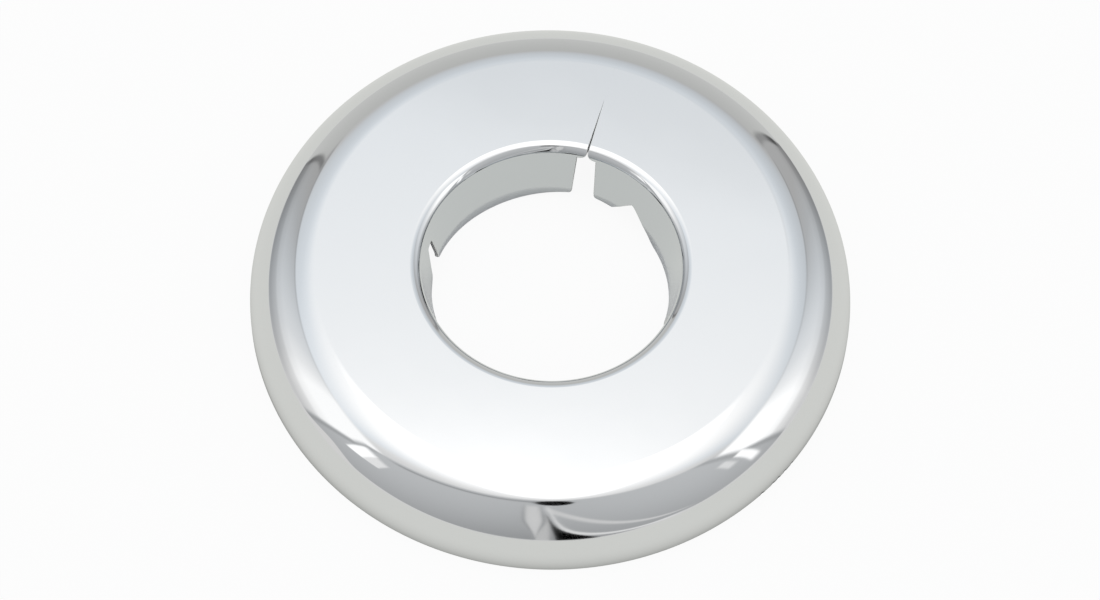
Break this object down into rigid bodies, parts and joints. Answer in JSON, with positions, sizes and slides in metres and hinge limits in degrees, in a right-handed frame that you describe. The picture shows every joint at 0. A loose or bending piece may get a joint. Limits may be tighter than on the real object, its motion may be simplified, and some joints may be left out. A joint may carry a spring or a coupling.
{
  "type": "split escutcheon",
  "caption": "Round pressed-metal pipe cover plate with a rounded rim, a collar of sprung fingers that grips the pipe, and a radial split that lets it spring open over a fitted pipe.",
  "frame": {"origin": "centre of the rim's bottom edge, in the plane of the wall", "axes": "+Z along the pipe, away from the wall; +Y along the split, from the pipe hole to the rim"},
  "size_m": [0.054, 0.054, 0.0068],
  "materials": {
    "plate": "bright plated sheet metal"
  },
  "bodies": {
    "root": {"escutcheon_plate": "plate"}
  },
  "joints": []
}
